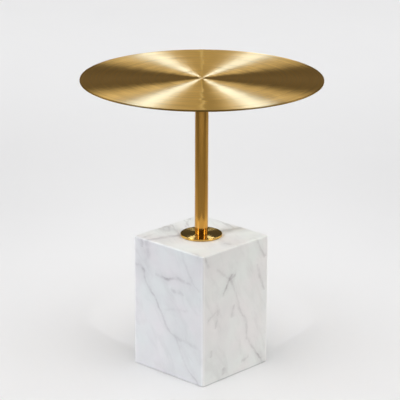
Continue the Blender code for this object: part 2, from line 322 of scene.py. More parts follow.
disc_lamps = [softbox("overhead_panel", (0, 0, 2.4), DISC_CENTRE, (1.9, 1.8), 1.12, 110, DEPTH, WARM)]
for word, out, away in DISC_LAMPS:
    place = (out, away, 3.56)
    in_front = (0.98 * out, 0.98 * away, 3.50)
    lamp = softbox(f"{word}_disc_lamp", place, DISC_CENTRE, (1.13, 1.44), 12.0, 120, DEPTH, COOL)
    halo = softbox(f"{word}_disc_halo", in_front, DISC_CENTRE, (2.16, 1.44), 2.0, 120, DEPTH, WARM)
    disc_lamps += [lamp, halo]
rosette_lamps = []
for side, word in SIDES:
    place = (side * 0.27, 2.49, 1.885)
    lean = (side * 0.35, -0.45, 0.645)
    rosette_lamps.append(softbox(f"{word}_rosette_lamp", place, BLOCK_TOP, (0.12, 0.8), 8.0, 60, lean))

# %% [markdown]
# The floor has lamps of its own, which make it evenly pale in the picture however the table is lit.
# The middle one makes the soft shadow round the block, and those in front and behind even out the rest.
# The two low ones at the sides light the floor outside the picture, which the column's edges mirror.
# Each row below has a place, a size, a brightness and a grid angle.

# %% Lamps for the floor
FLOOR_LAMPS = {
    "back": ((0, 2.98, 2.6), (4.4, 3.68), 8.05, 61),
    "front": ((0, -2.2, 2.2), (4.0, 2.0), 8.2, 70),
    "left": ((-1.9, -0.25, 0.7), (1.0, 1.0), 3.0, 60),
    "right": ((1.8, -0.05, 0.7), (1.0, 1.2), 6.0, 60),
}
shadow_lamp = softbox("middle_floor_lamp", (0, -0.24, 1.75), (0, 0.2, 0), (1.98, 1.58), 6.08, 86, DEPTH)
floor_lamps = [shadow_lamp]
for word, (place, *grid) in FLOOR_LAMPS.items():
    below = (*place[:2], 0)
    floor_lamps.append(softbox(f"{word}_floor_lamp", place, below, *grid, DEPTH))

# %% [markdown]
# Most pieces are turned on a lathe, so one helper spins an outline of (radius, height) points about Z.
# A Screw modifier would do the same; spinning in bmesh leaves a plain mesh with nothing more to apply.
# Another helper cuts one mesh with another, and weighs the normals so that broad faces stay flat beside
# their rounded edges.

# %% Helpers for turned pieces
SHARP = math.radians(30)
SAME_POINT = 1e-7
OVERRUN = 0.005


def mesh_from(shape):
    """Turns a worked shape into a smooth-shaded mesh with its faces out and its corners sharp."""
    bmesh.ops.remove_doubles(shape, verts=shape.verts, dist=SAME_POINT)
    bmesh.ops.recalc_face_normals(shape, faces=shape.faces)
    mesh = bpy.data.meshes.new("worked")
    shape.to_mesh(mesh)
    shape.free()
    mesh.shade_smooth()
    mesh.set_sharp_from_angle(angle=SHARP)
    return mesh


def turned(outline, steps=96):
    """Turns (radius, height) points about Z; the outline closes unless it starts on the axis."""
    shape = bmesh.new()
    points = [shape.verts.new((radius, 0.0, height)) for radius, height in outline]
    spans = list(zip(points, points[1:]))
    if outline[0][0] > 0.0:
        spans.append((points[-1], points[0]))
    edges = [shape.edges.new(span) for span in spans]
    ring = {"cent": (0, 0, 0), "axis": (0, 0, 1), "angle": math.tau}
    bmesh.ops.spin(shape, geom=points + edges, steps=steps, use_merge=True, **ring)
    return mesh_from(shape)


def arc(radius, height, size, start, steps=6):
    """Outline points of a quarter circle about (radius, height), from the start angle anticlockwise."""
    turns = [math.radians(start + 90.0 * step / steps) for step in range(steps + 1)]
    return [(radius + size * math.cos(turn), height + size * math.sin(turn)) for turn in turns]


def rim(radius, low, high, size):
    """Outline points of a plate's rim with both edges rounded, from the lower face to the upper."""
    return arc(radius - size, low + size, size, -90) + arc(radius - size, high - size, size, 0)


def flat_ring(bore, radius, low, high, edge, steps=96):
    """A flat ring or a tube about Z with its two outer edges rounded."""
    return turned([(bore, low), *rim(radius, low, high, edge), (bore, high)], steps)


def baked(maker):
    """The mesh of an object after its modifiers; the object goes."""
    view = bpy.context.evaluated_depsgraph_get()
    mesh = bpy.data.meshes.new_from_object(maker.evaluated_get(view))
    bpy.data.objects.remove(maker, do_unlink=True)
    return mesh


def carved(mesh, tool):
    """Cuts a mesh with another and gives back a plain mesh whose normals follow the broad faces."""
    body = placed("body", mesh)
    cutter = placed("cutter", tool)
    cut = body.modifiers.new("cut", "BOOLEAN")
    cut.object = cutter
    cut.solver = "EXACT"
    body.modifiers.new("weigh", "WEIGHTED_NORMAL").keep_sharp = True
    result = baked(body)
    bpy.data.objects.remove(cutter, do_unlink=True)
    return result


def put(name, mesh, material, slot, *nodes):
    """Shows a finished mesh as one piece in place of its CAD nodes."""
    mesh.name = name
    mesh.materials.clear()
    mesh.materials.append(material)
    piece = placed(name, mesh)
    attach(piece, "root")
    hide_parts(*nodes)
    print(name, "has", len(mesh.polygons), "faces")
    return piece


# %% [markdown]
# The top is brushed in circles while it turns, so each groove mirrors light across its length only, and a
# lamp shows as a wedge from the centre to the rim.
# A picture of wedges could be painted on, but it would stay put as the camera moves. An anisotropic shader
# with its tangent running round the axis makes the wedges from the lamps, as the real grooves do.
# Noise that is stretched round the circle gives each groove its own shine, and frays the wedges' edges.
# The brush leaves a ragged matt line where it is set down and lifted; beside it in front lies painted shade.

# %% Brass brushed in circles
GROOVED = {"Anisotropic": 1.0, "Anisotropic_Rotation": 0.25, "Specular_Tint": (0.95, 0.80, 0.50, 1.0)}
SEAM_TONE = (0.84, 0.55, 0.155)
SEAM_MATT = 0.4
WAVES = 90
TEETH = 500
TEETH_SPAN = (0.38, 0.62)
TEETH_REACH = (0.1, 2.0)
# A darker band beside the seam in front: painted shade.
SEAM_SHADE_DEPTH = 0.5
SEAM_SHADE_START = (0, 0.02)
SEAM_SHADE_END = (0.06, 0.28)
SEAM_SHADE_FRONT = (-0.95, -0.8)


def rings_of(tree, reach, heading, scale, flow, detail):
    """Noise stretched round the axis: fine from groove to groove, slow along each of them."""
    across = add(tree, "ShaderNodeCombineXYZ", {"Z": times(tree, reach, scale)}).outputs[0]
    spot = vectors(tree, "ADD", across, scaled(tree, heading, flow))
    return noise(tree, spot, 1.0, detail, roughness=0.7)


def brush_seam(tree, reach, heading, width):
    """The line where the brush stops: how matt it is, and how dark the painted shade beside it in front."""
    waves = rings_of(tree, reach, heading, WAVES, flow=0.4, detail=1.0)
    wobble = ranged(tree, waves, *NOISE_SPAN, -width, width)
    across = sums(tree, "ADD", measured(tree, "DOT_PRODUCT", heading, ACROSS_AXIS), wobble)
    along = measured(tree, "DOT_PRODUCT", heading, DEPTH_AXIS)
    teeth = rings_of(tree, reach, heading, TEETH, flow=1.0, detail=2.0)
    edge = times(tree, ranged(tree, teeth, *TEETH_SPAN, *TEETH_REACH), width)
    matt = ranged(tree, sums(tree, "ABSOLUTE", across), 0, edge, 1, 0, True)
    past = times(tree, across, along, -1)
    starts = ranged(tree, past, *SEAM_SHADE_START, 0, SEAM_SHADE_DEPTH)
    ends = ranged(tree, past, *SEAM_SHADE_END, 1, 0, True)
    return matt, times(tree, starts, ends, ranged(tree, along, *SEAM_SHADE_FRONT, 1, 0, True))


def circled_brass(name, tones, roughness, scale, radius, rim_and_shade_tone, edge_width, seam=0.0):
    """Brass grooved in circles about Z, another tone at the edge, and if wanted a seam with painted shade.
    """
    material, tree, shader, place = finish(name, 1.0, **GROOVED)
    flat = vectors(tree, "MULTIPLY", place, (1, 1, 0))
    reach = measured(tree, "LENGTH", flat)
    heading = vectors(tree, "NORMALIZE", flat)
    streaks = rings_of(tree, reach, heading, scale, flow=1.2, detail=6.0)
    colour = mixed(tree, ranged(tree, streaks, *NOISE_SPAN, 0, 1), *tones)
    rough = ranged(tree, streaks, *NOISE_SPAN, *roughness)
    if seam:
        matt, seam_shade = brush_seam(tree, reach, heading, seam)
        rough = sums(tree, "ADD", rough, times(tree, matt, SEAM_MATT))
        # Beside the seam in front, the colour darkens towards the rim tone: painted shade.
        colour = mixed(tree, matt, mixed(tree, seam_shade, colour, rim_and_shade_tone), SEAM_TONE)
    edge = ranged(tree, reach, radius - edge_width, radius - 0.5 * edge_width, 0, 1)
    surfaced(tree, shader, mixed(tree, edge, colour, rim_and_shade_tone), rough)
    tangent = add(tree, "ShaderNodeTangent", direction_type="RADIAL", axis="Z")
    tree.links.new(tangent.outputs[0], shader.inputs["Tangent"])
    return material


# %% [markdown]
# The disc is a flat spun plate with eased edges, so that its rim catches a thin line of light.
# It is turned from its outline. A few rings between the centre and the rim keep its triangles short.

# %% Brass disc
TOP_EDGE = 0.0008
TOP_RINGS = 8
low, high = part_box("top_disc")
top_radius = high.x
rings = [top_radius * step / TOP_RINGS for step in range(TOP_RINGS)]
outline = [(ring, low.z) for ring in rings]
outline += rim(top_radius, low.z, high.z, TOP_EDGE)
outline += [(ring, high.z) for ring in reversed(rings)]
brushed = circled_brass(
    "brushed_brass", radius=top_radius, scale=190, roughness=(0.34, 0.60), seam=math.radians(1.8),
    tones=((0.65, 0.41, 0.135), (0.93, 0.625, 0.235)), rim_and_shade_tone=(0.42, 0.25, 0.07), edge_width=TOP_EDGE,
)
top = put("brass_top", turned(outline, steps=256), brushed, "brushed_brass", "top_disc")

# %% [markdown]
# The column is a drawn brass tube with a satin finish, open at both ends.
# It mirrors the floor in front of the table, so most of it looks darker than the disc, and its foot mirrors
# the pale stone.
# A plain gloss would do from afar; noise drawn out along the tube gives it the faint marks of the die.

# %% Satin brass column
SATIN_TINT = (0.88, 0.95, 1.0, 1.0)
SATIN_TONES = ((0.615, 0.312, 0.060), (0.685, 0.356, 0.072))
SATIN_ROUGHNESS = (0.12, 0.17)
DIE_MARKS = (900, 900, 12)
TUBE_WALL = 0.0015
TUBE_EDGE = 0.0004


def satin_brass():
    """Brass with a soft shine and faint marks along the tube."""
    material, tree, shader, place = finish("satin_brass", 1.0, Specular_Tint=SATIN_TINT)
    drawn = add(tree, "ShaderNodeMapping", {"Vector": place, "Scale": DIE_MARKS}).outputs[0]
    marks = noise(tree, drawn, 1.0)
    colour = mixed(tree, ranged(tree, marks, *NOISE_SPAN, 0, 1), *SATIN_TONES)
    surfaced(tree, shader, colour, ranged(tree, marks, *NOISE_SPAN, *SATIN_ROUGHNESS))
    return material


satin = satin_brass()
low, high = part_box("column_tube")
tube_radius = high.x
tube_bore = tube_radius - TUBE_WALL
tube = flat_ring(tube_bore, tube_radius, low.z, high.z, TUBE_EDGE, steps=128)
put("brass_column", tube, satin, "satin_brass", "column_tube")

# %% [markdown]
# The rosette under the column is polished on the same lathe, so it shows wedges like the disc's, only
# sharper: the grooves are finer and the surface is smoother.
# The column stands in a shallow seat in the middle of it.

# %% Polished rosette
ROSETTE_EDGE = 0.0008
SEAT_DEPTH = 0.001
CLEARANCE = 0.0003
ROD_HOLE = 0.0055
low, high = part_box("column_rosette")
rosette_radius = high.x
seat_radius = tube_radius + CLEARANCE
seat_height = high.z - SEAT_DEPTH
outline = [(ROD_HOLE, low.z), *rim(rosette_radius, low.z, high.z, ROSETTE_EDGE)]
outline += [(seat_radius, high.z), (seat_radius, seat_height), (ROD_HOLE, seat_height)]
# The rosette's tones are far darker than brass: painted shade for the dim room it mirrors; only its rim
# keeps a brass tone.
polished_painted_dark = circled_brass(
    "polished_brass_painted_dark", radius=rosette_radius, scale=700, roughness=(0.15, 0.20), edge_width=ROSETTE_EDGE,
    tones=((0.39, 0.285, 0.125), (0.48, 0.355, 0.16)), rim_and_shade_tone=(0.70, 0.43, 0.12),
)
plate = turned(outline, steps=160)
rosette = put("brass_rosette", plate, polished_painted_dark, "mirror_brass", "column_rosette")

# %% [markdown]
# The base is sawn from white marble with grey veins. A vein is a thin sheet in the stone, and each face
# shows where it is cut.
# Noise alone gives likely veins, but not the photograph's. So the veins of the three faces that show are
# drawn as curves through a few points, and noise frays them. The two faces behind get theirs from noise.
# Points are in millimetres: how far the vein runs, how far it has risen there, and how strong it is.

# %% Veins in the marble
LEFT_STEEP = [
    [(0, 147, 0.4), (6, 144, 0.45), (20, 127, 0.25), (50, 108, 0.2), (70, 98, 0.42), (78, 84, 0.42),
     (97, 69, 0.36), (125, 53, 0.6), (152, 30, 0.42), (172, 23, 0.4), (178, 18, 0)],
    [(165, 150, 0), (170, 147, 0.3), (174, 138, 0.3), (183, 132, 0.25), (209, 118, 0.15), (222, 112, 0)],
    [(212, 20, 0), (219, 19, 0.55), (226, 18, 0.5), (228, 18, 0.4)],
]
LEFT_FLAT = [
    [(50, 173, 0), (56, 172, 0.35), (68, 171, 0.5), (80, 170, 0.95), (86, 173, 0.55), (92, 176, 0.45),
     (110, 176, 0.4), (124, 174, 0.4), (133, 172, 0)],
    [(93, 74, 0), (100, 72, 0.35), (118, 70, 0.3), (132, 69, 0.3), (141, 67, 0.25), (150, 66, 0)],
    [(86, 153, 0), (94, 153, 0.4), (101, 154, 0.2), (109, 154, 0.4), (116, 153, 0)],
    [(70, 115, 0), (80, 117, 0.22), (100, 121, 0.15), (118, 124, 0.2), (128, 125, 0)],
    [(0, 180, 0.35), (10, 179, 0.35), (20, 177, 0.4), (27, 168, 0)],
]
RIGHT_STEEP = [
    [(0, 150, 0.9), (9, 145, 1), (27, 130, 0.5), (51, 113, 0.42), (70, 106, 0.4), (90, 105, 0.36),
     (106, 94, 0.38), (128, 86, 0.3), (147, 78, 0.3), (166, 70, 0.45), (176, 65, 0.3), (184, 63, 0)],
    [(146, 49, 0), (152, 51, 0.5), (160, 55, 0.9), (168, 60, 0.6), (176, 65, 0.8), (182, 68, 0)],
    [(205, 12, 0), (214, 9, 0.4), (221, 6, 0.5), (228, 3, 0.5)],
    [(190, 152, 0), (196, 148, 0.6), (206, 142, 0.45), (216, 136, 0.4), (226, 130, 0.2)],
    [(132, 150, 0), (141, 147, 0.45), (157, 140, 0.4), (173, 135, 0.35), (184, 132, 0)],
    [(95, 31, 0), (101, 32, 0.35), (112, 34, 0.25), (121, 35, 0.3), (128, 36, 0)],
    [(104, 70, 0), (112, 71, 0.4), (120, 73, 0.4), (128, 75, 0)],
    [(46, 19, 0), (53, 21, 0.5), (60, 22, 0)],
    [(7, 49, 0), (13, 50, 0.45), (19, 51, 0)],
]
RIGHT_FLAT = [
    [(8, 115, 0), (15, 117, 0.35), (29, 124, 0.35), (36, 128, 0)],
    [(32, 200, 0), (38, 196, 0.3), (48, 187, 0.3), (58, 178, 0.45), (66, 174, 0.6), (73, 176, 0.7),
     (80, 180, 0)],
    [(94, 18, 0), (103, 21, 0.35), (112, 24, 0)],
]
TOP_STEEP = [
    [(0, 31, 0.4), (6, 34, 0.5), (30, 44, 0.6), (54, 53, 0.65), (90, 72, 0.4), (124, 92, 0.5),
     (157, 101, 0.4)],
]
TOP_FLAT = [
    [(133, 76, 0), (141, 78, 0.5), (150, 79, 0)],
]
VEIN_HAZE = 3.5


def curve_of(tree, value, points):
    """Reads a value off a smooth curve through (in, out) points between zero and one."""
    node = add(tree, "ShaderNodeFloatCurve", {"Value": value})
    curve = node.mapping.curves[0]
    for point, spot in zip(curve.points, (points[0], points[-1])):
        point.location = spot
    for spot in points[1:-1]:
        curve.points.new(*spot)
    node.mapping.update()
    return node.outputs[0]


def vein(tree, run, run_span, rise, rise_span, width, points):
    """The shade of one vein along its curve: a dark middle with a soft edge."""
    path = curve_of(tree, run, [(far / run_span, up / rise_span) for far, up, strength in points])
    strength = curve_of(tree, run, [(far / run_span, strength) for far, up, strength in points])
    gap = sums(tree, "ABSOLUTE", sums(tree, "SUBTRACT", rise, path))
    middle = ranged(tree, gap, 0, width / rise_span, 0.75, 0, True)
    haze = ranged(tree, gap, 0, VEIN_HAZE * width / rise_span, 0.25, 0, True)
    return times(tree, sums(tree, "ADD", middle, haze), strength)


print("veins drawn:", sum(map(len, (LEFT_STEEP, LEFT_FLAT, RIGHT_STEEP, RIGHT_FLAT, TOP_STEEP, TOP_FLAT))))

# %% [markdown]
# The stone is built up from the broad to the fine: white in two casts, soft clouds, faint grey sheets that
# run right through the block, and then the veins. Each drawn vein fades out a little behind its own face.
# The upright edges are painted paler: painted light for the light that passes through the thin stone there.
# Scattering light in the stone would show it too, but costs far more than a paler colour.

# %% White marble
VEIN_WIDTH = 4.6
SMEAR_WIDTH = 9.0
VEIN_DEPTH = (0.05, 0.3)
BACK_START = (0.2, 0.5)
SIDE_END = (0.5, 0.8)
FRAY = 0.014
MILLIMETRES = 1000
SHEET_ACROSS = Vector((1.38, 2.1, 1.0)).normalized()
SHEET_SCALE = 14.0
SHEET_SQUEEZE = 40.0
BACK_VEIN_SCALE = 0.3
BACK_VEIN_WIDTH = 0.03
WARM_WHITE = (0.80, 0.785, 0.80)
COOL_WHITE = (0.775, 0.80, 0.80)
CLOUD_GREY = (0.70, 0.70, 0.715)
SHEET_GREY = (0.56, 0.555, 0.565)
VEIN_GREY = (0.42, 0.405, 0.425)
# Painted light on the upright edges, for light passing through the thin stone.
ARRIS_PAINTED_LIGHT = (0.98, 0.98, 0.98)
ARRIS_REACH = 0.005
ARRIS_LIGHT_SHARE = 0.9
STONE_ROUGHNESS = (0.33, 0.42)


def drawn_veins(tree, inside, span):
    """The veins of the three faces that show, and how far a place is towards the two faces behind."""
    x, y, z = add(tree, "ShaderNodeSeparateXYZ", {0: inside}).outputs
    wide, deep, tall = span * MILLIMETRES
    faces = [
        (LEFT_STEEP, z, tall, x, wide, VEIN_WIDTH, y, 0.0),
        (LEFT_FLAT, x, wide, z, tall, VEIN_WIDTH, y, 0.0),
        (RIGHT_STEEP, z, tall, y, deep, VEIN_WIDTH, x, 1.0),
        (RIGHT_FLAT, y, deep, z, tall, VEIN_WIDTH, x, 1.0),
        (TOP_STEEP, y, deep, x, wide, SMEAR_WIDTH, z, 1.0),
        (TOP_FLAT, x, wide, y, deep, VEIN_WIDTH, z, 1.0),
    ]
    shade = 0.0
    for veins, run, run_span, rise, rise_span, width, into, face in faces:
        depth = sums(tree, "ABSOLUTE", sums(tree, "SUBTRACT", into, face))
        near = ranged(tree, depth, *VEIN_DEPTH, 1, 0, True)
        drawn = 0.0
        for points in veins:
            drawn = sums(tree, "MAXIMUM", drawn, vein(tree, run, run_span, rise, rise_span, width, points))
        shade = sums(tree, "ADD", shade, times(tree, drawn, near))
    behind = times(tree, ranged(tree, y, *BACK_START, 0, 1), ranged(tree, x, *SIDE_END, 1, 0))
    return shade, behind


def near_arris(tree, place, low, high):
    """How near a place on the surface is to one of the block's upright edges."""
    off = vectors(tree, "ABSOLUTE", vectors(tree, "SUBTRACT", place, (low + high) / 2))
    inset = vectors(tree, "SUBTRACT", (high - low) / 2, off)
    x, y = add(tree, "ShaderNodeSeparateXYZ", {0: inset}).outputs[:2]
    return ranged(tree, sums(tree, "MAXIMUM", x, y), 0, ARRIS_REACH, 1, 0)


def white_marble(low, high):
    """White marble between two corners: clouds, drawn veins and, behind, veins from noise."""
    material, tree, shader, place = finish("white_marble", Specular_IOR_Level=0.4)
    drift = noise(tree, place, 55.0, 6.0, 0.66, output=1)
    fray = scaled(tree, vectors(tree, "SUBTRACT", drift, (0.5, 0.5, 0.5)), FRAY)
    span = high - low
    frayed = vectors(tree, "SUBTRACT", vectors(tree, "ADD", place, fray), low)
    drawn, behind = drawn_veins(tree, vectors(tree, "DIVIDE", frayed, span), span)
    patches = ranged(tree, noise(tree, place, 85.0, 4.0, 0.6), 0.3, 0.68, 0.35, 1.2)
    drawn = times(tree, drawn, patches)

    across = times(tree, measured(tree, "DOT_PRODUCT", place, SHEET_ACROSS), SHEET_SQUEEZE)
    squeezed = vectors(tree, "ADD", scaled(tree, place, SHEET_SCALE), scaled(tree, SHEET_ACROSS, across))
    sheets = noise(tree, squeezed, 1.0, 6.0, 0.62, 0.4)
    broad = noise(tree, scaled(tree, squeezed, BACK_VEIN_SCALE), 1.0, 4.0, 0.5, 0.6)
    off_ridge = sums(tree, "ABSOLUTE", sums(tree, "SUBTRACT", broad, 0.5))
    ridge = ranged(tree, off_ridge, 0, BACK_VEIN_WIDTH, 0.5, 0, True)
    shade = sums(tree, "MAXIMUM", drawn, times(tree, ridge, behind, patches))

    clouds = noise(tree, place, 11.0, 5.0, 0.55, 0.6)
    cast = noise(tree, place, 14.0, 3.0)
    painted_arris_light = times(tree, near_arris(tree, place, low, high), ARRIS_LIGHT_SHARE)
    stone = mixed(tree, ranged(tree, cast, 0.38, 0.62, 0, 1), WARM_WHITE, COOL_WHITE)
    stone = mixed(tree, ranged(tree, clouds, 0.45, 0.8, 0, 1), stone, CLOUD_GREY)
    stone = mixed(tree, ranged(tree, sheets, 0.5, 0.78, 0, 0.45), stone, SHEET_GREY)
    stone = mixed(tree, shade, stone, VEIN_GREY)
    # The upright edges get painted light: a paler colour near them.
    stone = mixed(tree, painted_arris_light, stone, ARRIS_PAINTED_LIGHT)
    surfaced(tree, shader, stone, ranged(tree, shade, 0, 1, *STONE_ROUGHNESS))
    return material


# %% [markdown]
# The hardware repeats: four studs, washers and nuts on one circle, and four feet on another. Copying objects
# in a loop would work, but Geometry Nodes say it once, in trees that take their sizes as named inputs.
# One helper starts a tree, another ends it, and a third passes a mesh through trees and keeps the result.

# %% Geometry Nodes helpers
def geometry_tree(name, **inputs):
    """A new tree with named inputs; gives back the tree, its inputs and its output node."""
    tree = bpy.data.node_groups.new(name, "GeometryNodeTree")
    tree.interface.new_socket("Geometry", in_out="OUTPUT", socket_type="NodeSocketGeometry")
    for label, kind in {"Geometry": "Geometry", **inputs}.items():
        tree.interface.new_socket(label.replace("_", " "), in_out="INPUT", socket_type=f"NodeSocket{kind}")
    return tree, tree.nodes.new("NodeGroupInput").outputs, tree.nodes.new("NodeGroupOutput")


def coated(tree, node, given, end):
    """Ends a tree after a node: makes any copies real and gives them their material."""
    real = add(tree, "GeometryNodeRealizeInstances", {"Geometry": node.outputs[0]}).outputs[0]
    coat = add(tree, "GeometryNodeSetMaterial", {"Geometry": real, "Material": given["Material"]})
    tree.links.new(coat.outputs[0], end.inputs[0])
    print("tree", tree.name, "has", len(tree.nodes), "nodes")


def grown(mesh, *steps):
    """Passes a mesh through trees with their input values, and gives back a plain mesh."""
    maker = placed("maker", mesh)
    for tree, values in steps:
        modifier = maker.modifiers.new(tree.name, "NODES")
        modifier.node_group = tree
        for item in tree.interface.items_tree:
            if item.name in values:
                modifier[item.identifier] = values[item.name]
    result = baked(maker)
    result.set_sharp_from_angle(angle=SHARP)
    return result


# %% [markdown]
# The first tree makes points on a circle and sets a copy on each, turned to face outwards.
# Studs and feet both stand towards the block's corners, so their circles start at an eighth of a turn.

# %% Copies on a circle
def ring_of_copies():
    """A tree that sets copies of a shape on a circle about Z, each turned to face outwards."""
    tree, given, end = geometry_tree(
        "ring_of_copies", Count="Int", Ring_Radius="Float", First_Turn="Float", Material="Material"
    )
    index = add(tree, "GeometryNodeInputIndex").outputs[0]
    step = sums(tree, "DIVIDE", math.tau, given["Count"])
    turn = sums(tree, "ADD", times(tree, index, step), given["First Turn"])
    size = {"Vertices": given["Count"], "Radius": given["Ring Radius"]}
    circle = add(tree, "GeometryNodeMeshCircle", size)
    upright = add(tree, "ShaderNodeCombineXYZ", {"Z": given["First Turn"]}).outputs[0]
    points = add(tree, "GeometryNodeTransform", {"Geometry": circle.outputs[0], "Rotation": upright})
    facing = add(tree, "ShaderNodeCombineXYZ", {"Z": turn}).outputs[0]
    inputs = {"Points": points.outputs[0], "Instance": given["Geometry"], "Rotation": facing}
    coated(tree, add(tree, "GeometryNodeInstanceOnPoints", inputs), given, end)
    return tree


def four_on(radius, material):
    """Input values for four copies on a circle, towards the block's corners."""
    return {"Count": 4, "Ring Radius": radius, "First Turn": math.pi / 4, "Material": material}


copies = ring_of_copies()

# %% [markdown]
# The block's edges are slightly rounded, the lower ones less, as they look crisper in the photograph.
# Its middle is bored for the rod, a wider recess underneath hides the nut, and four shallow pockets hold the
# rubber pads, so that the stone seems to stand on the floor itself.
# A bevelled cube, one turned cutter and a ring of four more are enough.

# %% Marble block
ARRIS = 0.003
LOWER_ARRIS = 0.001
STONE_BORE = 0.007
RECESS_RADIUS = 0.021
low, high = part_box("marble_block")
recess_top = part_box("stone_gasket")[1].z + CLEARANCE
shape = bmesh.new()
bmesh.ops.create_cube(shape, size=1.0)
bmesh.ops.scale(shape, verts=shape.verts, vec=high - low)
bmesh.ops.translate(shape, verts=shape.verts, vec=(low + high) / 2)
soft = {"profile": 0.5, "affect": "EDGES"}
upper = [edge for edge in shape.edges if max(vert.co.z for vert in edge.verts) > low.z + ARRIS]
bmesh.ops.bevel(shape, geom=upper, offset=ARRIS, segments=6, **soft)
lower = [edge for edge in shape.edges if max(vert.co.z for vert in edge.verts) < low.z + LOWER_ARRIS]
bmesh.ops.bevel(shape, geom=lower, offset=LOWER_ARRIS, segments=4, **soft)
profile = [(0.0, low.z - OVERRUN), (RECESS_RADIUS, low.z - OVERRUN), (RECESS_RADIUS, recess_top)]
profile += [(STONE_BORE, recess_top), (STONE_BORE, high.z + OVERRUN), (0.0, high.z + OVERRUN)]
marble = white_marble(low, high)
stone = carved(mesh_from(shape), turned(profile))

pad_low, pad_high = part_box("foot_1")
pad_ring = ((pad_low + pad_high) / 2).xy.length
pocket_radius = (pad_high.x - pad_low.x) / 2 + CLEARANCE
pocket_top = pad_high.z + CLEARANCE
profile = [(0.0, low.z - OVERRUN), (pocket_radius, low.z - OVERRUN)]
profile += [(pocket_radius, pocket_top), (0.0, pocket_top)]
drill = turned(profile, steps=64)
pockets = grown(drill, (copies, four_on(pad_ring, marble)))
block = put("marble_base", carved(stone, pockets), marble, "white_marble", "marble_block")

# %% [markdown]
# A screw thread is one groove wound round a bar. It could be swept along a helix and cut out, but Booleans
# on so fine a groove are slow and easily fail.
# Instead the second tree pushes a bar's surface in along the helix; the bar only needs close rows of points.

# %% Screw threads
GROOVE_FLANKS = (0.06, 0.44)
ROWS_PER_TURN = 8


def screw_thread():
    """A tree that cuts a thread about Z into the part of a bar between two heights."""
    tree, given, end = geometry_tree(
        "screw_thread", Pitch="Float", Depth="Float", Low="Float", High="Float", Material="Material"
    )
    place = add(tree, "GeometryNodeInputPosition").outputs[0]
    x, y, z = add(tree, "ShaderNodeSeparateXYZ", {0: place}).outputs
    heading = sums(tree, "DIVIDE", sums(tree, "ARCTAN2", y, x), math.tau)
    turns = sums(tree, "SUBTRACT", sums(tree, "DIVIDE", z, given["Pitch"]), heading)
    groove = ranged(tree, sums(tree, "PINGPONG", turns, 0.5), *GROOVE_FLANKS, 0, 1)
    above = ranged(tree, sums(tree, "SUBTRACT", z, given["Low"]), 0, given["Pitch"], 0, 1)
    below = ranged(tree, sums(tree, "SUBTRACT", given["High"], z), 0, given["Pitch"], 0, 1)
    depth = times(tree, groove, given["Depth"], above, below, -1)
    outwards = vectors(tree, "NORMALIZE", vectors(tree, "MULTIPLY", place, (1, 1, 0)))
    offset = {"Geometry": given["Geometry"], "Offset": scaled(tree, outwards, depth)}
    coated(tree, add(tree, "GeometryNodeSetPosition", offset), given, end)
    return tree


def threaded_rows(radius, low, high, pitch):
    """Outline points up the side of a bar, close enough for its thread."""
    count = round((high - low) / pitch * ROWS_PER_TURN)
    return [(radius, low + (high - low) * row / count) for row in range(count + 1)]


thread = screw_thread()

# %% [markdown]
# The steel hardware is zinc plated: bright, slightly uneven, with a cool and a warm cast in places.
# Soft noise in the colour and the roughness is enough, as the pieces are small.

# %% Zinc-plated steel
COOL_ZINC = (0.56, 0.58, 0.61)
WARM_ZINC = (0.62, 0.60, 0.54)
DULL_ZINC = (0.44, 0.44, 0.44)
ZINC_ROUGHNESS = (0.30, 0.46)


def zinc_steel():
    """Bright zinc plate with a faint mottle."""
    material, tree, shader, place = finish("zinc_steel", 1.0)
    mottle = noise(tree, place, 350.0, 5.0, 0.6)
    cast = noise(tree, place, 120.0, 2.0)
    bright = mixed(tree, ranged(tree, cast, 0.35, 0.65, 0, 1), COOL_ZINC, WARM_ZINC)
    colour = mixed(tree, ranged(tree, mottle, 0.4, 0.75, 0, 1), bright, DULL_ZINC)
    surfaced(tree, shader, colour, ranged(tree, mottle, *NOISE_SPAN, *ZINC_ROUGHNESS))
    return material


steel = zinc_steel()

# %% [markdown]
# A round flange carries the disc. Its hub plugs into the column and takes the rod's thread, and four holes
# in its plate let the studs through.
# The holes are drilled with one cutter that the ring of copies makes.

# %% Mounting flange
FLANGE_THICKNESS = 0.003
FLANGE_EDGE = 0.0008
HUB_CHAMFER = 0.001
ROD_ENGAGEMENT = 0.018
ROD_THREAD_HOLE = 0.0053
STUD_HOLE = 0.003
STUD_RING = 0.045
low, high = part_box("top_flange")
plate_low = high.z - FLANGE_THICKNESS
hub_radius = tube_bore - CLEARANCE
thread_top = low.z + ROD_ENGAGEMENT
outline = [(0.0, thread_top), (ROD_THREAD_HOLE, thread_top), (ROD_THREAD_HOLE, low.z)]
outline += [(hub_radius - HUB_CHAMFER, low.z), (hub_radius, low.z + HUB_CHAMFER), (hub_radius, plate_low)]
outline += [*rim(high.x, plate_low, high.z, FLANGE_EDGE), (0.0, high.z)]
profile = [(0.0, plate_low - OVERRUN), (STUD_HOLE, plate_low - OVERRUN)]
profile += [(STUD_HOLE, high.z + OVERRUN), (0.0, high.z + OVERRUN)]
four_studs = four_on(STUD_RING, steel)
drills = grown(turned(profile, steps=48), (copies, four_studs))
flange = carved(turned(outline, steps=160), drills)
put("mounting_flange", flange, satin, "satin_brass", "top_flange")

# %% [markdown]
# Studs are welded to the underside of the disc. A washer and a hexagon nut on each hold the flange up.
# The nut is worked out from its size across the flats: the distance to a flat grows towards a corner, and
# a cone turns the corners back at both faces.

# %% Studs, washers and nuts
STUD_RADIUS = 0.0025
STUD_PITCH = 0.0008
STUD_THREAD_DEPTH = 0.00045
STUD_TIP = 0.0006
STUD_NUT_FLATS = 0.008
STUD_NUT_HOLE = 0.0028
WASHER_RADIUS = 0.005
WASHER_EDGE = 0.0003
NUT_FACE_SHARE = 0.95
NUT_CHAMFER = math.radians(30)
NUT_STEPS = 96
NUT_SINK = 0.0004


